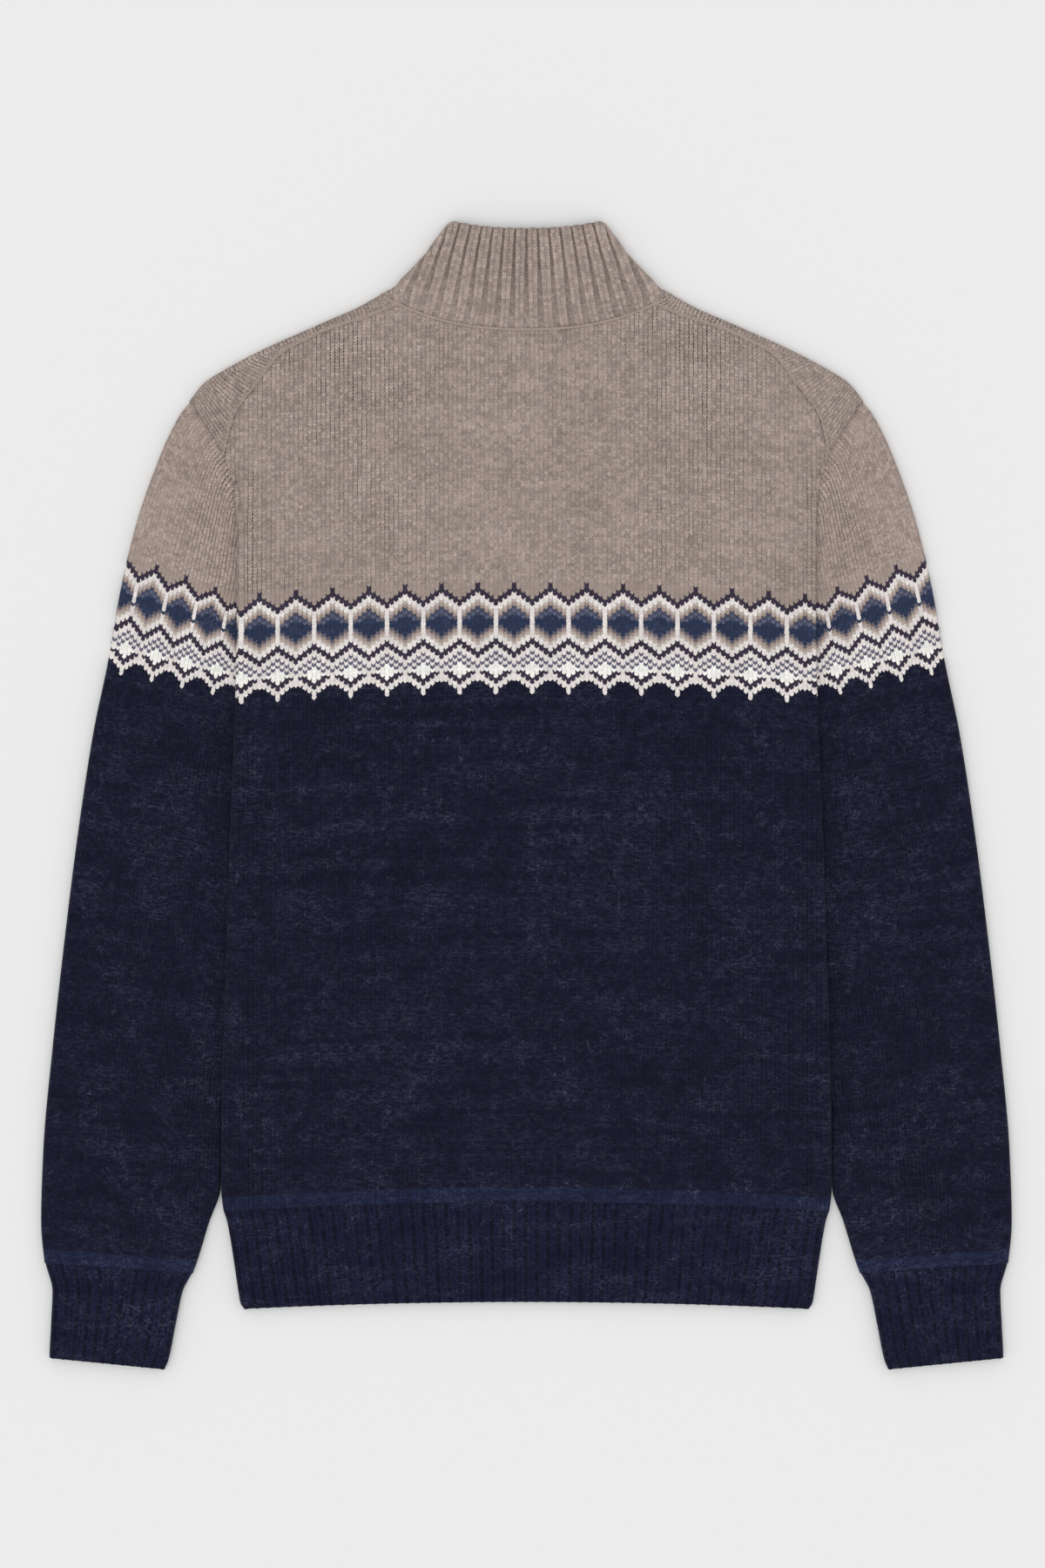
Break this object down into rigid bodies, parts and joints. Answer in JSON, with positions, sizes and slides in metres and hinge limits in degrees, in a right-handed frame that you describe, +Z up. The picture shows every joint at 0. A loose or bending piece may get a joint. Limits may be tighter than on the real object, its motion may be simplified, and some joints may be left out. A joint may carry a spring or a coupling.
{
  "type": "mock neck sweater",
  "caption": "Long-sleeved knitted sweater with a mock neck, laid flat face down, with ribbed collar, cuffs and hem.",
  "frame": {"origin": "middle of the laid garment's outline, on the surface it lies on", "axes": "+Y from the hem to the collar, +X to the wearer's right, +Z up, out of the garment's back"},
  "size_m": [0.668, 0.7888, 0.0124],
  "materials": {
    "body_knit": "soft wool-blend stocking stitch, taupe above a geometric band and navy below it",
    "collar_rib": "soft wool-blend 2x2 rib, taupe, knitted double",
    "navy_rib": "soft wool-blend 2x2 rib, navy"
  },
  "bodies": {
    "root": {"back": "body_knit", "front": "body_knit", "sleeve_left": "body_knit", "sleeve_right": "body_knit", "collar": "collar_rib", "hem_rib": "navy_rib", "cuff_left": "navy_rib", "cuff_right": "navy_rib"}
  },
  "joints": []
}
